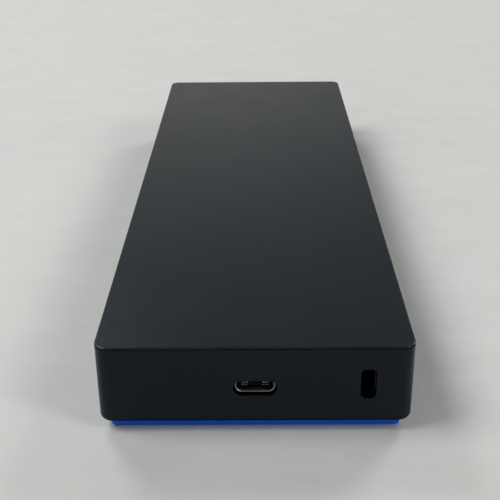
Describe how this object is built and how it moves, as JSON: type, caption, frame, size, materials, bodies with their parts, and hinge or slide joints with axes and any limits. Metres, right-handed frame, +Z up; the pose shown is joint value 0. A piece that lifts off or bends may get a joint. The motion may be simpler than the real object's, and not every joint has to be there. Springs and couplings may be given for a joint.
{
  "type": "laptop docking station",
  "caption": "Slim rectangular laptop dock with a seamed flat lid, a blue non-slip base pad, end ports, a lock slot, side ports and a press-in power button.",
  "frame": {"origin": "on the table, under the middle of the base pad", "axes": "+Z up; the long axis lies along Y, with the near end (USB-C port and lock slot) at -Y; the rear ports face +X and the front ports face -X"},
  "size_m": [0.07, 0.214, 0.0219],
  "materials": {
    "case_plastic": "satin",
    "base_rubber": "matte",
    "button_plastic": "satin",
    "screw_steel": "satin",
    "bracket_steel": "matte",
    "socket_metal": "satin",
    "contact_metal": "polished",
    "bright_contact": "polished",
    "socket_plastic": "matte",
    "video_blue_plastic": "matte",
    "clear_plastic": "clear",
    "ivory_plastic": "matte",
    "circuit_board": "satin",
    "insulation_film": "satin",
    "flex_film": "satin",
    "spreader_aluminium": "satin",
    "capacitor_aluminium": "satin",
    "thermal_rubber": "matte",
    "chip_plastic": "matte",
    "ferrite": "matte"
  },
  "bodies": {
    "dock": {"top_cover": "case_plastic", "lower_case": "case_plastic", "base_pad": "base_rubber", "case_screws": "screw_steel", "board_screws": "screw_steel", "lock_bracket": "bracket_steel", "main_board": "circuit_board", "insulation_sheet": "insulation_film", "data_end_board": "circuit_board", "host_end_board": "circuit_board", "data_flex_cable": "flex_film", "host_flex_cable": "flex_film", "flex_sockets": "ivory_plastic", "usb_c_data_shell": "socket_metal", "usb_c_data_tongue": "socket_plastic", "usb_c_data_contacts": "bright_contact", "usb_c_host_shell": "socket_metal", "usb_c_host_tongue": "socket_plastic", "usb_c_host_contacts": "bright_contact", "usb_a_rear_1_shell": "socket_metal", "usb_a_rear_2_shell": "socket_metal", "usb_a_front_1_shell": "socket_metal", "usb_a_front_2_shell": "socket_metal", "usb_a_rear_1_tongue": "socket_plastic", "usb_a_rear_2_tongue": "socket_plastic", "usb_a_front_1_tongue": "socket_plastic", "usb_a_front_2_tongue": "socket_plastic", "usb_a_contacts": "contact_metal", "displayport_1_shell": "socket_metal", "displayport_2_shell": "socket_metal", "displayport_1_tongue": "socket_plastic", "displayport_2_tongue": "socket_plastic", "displayport_contacts": "contact_metal", "vga_shell": "socket_metal", "vga_insert": "video_blue_plastic", "vga_jackscrews": "screw_steel", "ethernet_shield": "socket_metal", "ethernet_housing": "socket_plastic", "ethernet_contacts": "contact_metal", "ethernet_lenses": "clear_plastic", "audio_jack_body": "socket_plastic", "audio_jack_sleeve": "socket_metal", "power_jack_body": "socket_plastic", "power_jack_pin": "socket_metal", "heat_spreader": "spreader_aluminium", "thermal_pads": "thermal_rubber", "video_controller": "chip_plastic", "usb_hub_controller": "chip_plastic", "ethernet_controller": "chip_plastic", "power_controller": "chip_plastic", "power_inductors": "ferrite", "polymer_capacitors": "capacitor_aluminium", "ethernet_transformer": "chip_plastic", "light_pipe": "clear_plastic", "status_led": "ivory_plastic", "button_guide": "socket_plastic", "button_switch": "socket_plastic"},
    "power_button": {"power_button": "button_plastic"},
    "switch_plunger": {"switch_plunger": "ivory_plastic"}
  },
  "joints": [
    {"name": "power_button_press", "type": "slide", "parent": "dock", "child": "power_button", "axis": [1, 0, 0], "range_m": [0, 0.0004], "stiffness_N_per_m": 1000},
    {"name": "switch_plunger_press", "type": "slide", "parent": "dock", "child": "switch_plunger", "axis": [1, 0, 0], "range_m": [0, 0.0004]}
  ],
  "couplings": [
    {"joint": "switch_plunger_press", "follows": "power_button_press", "ratio": 1}
  ]
}
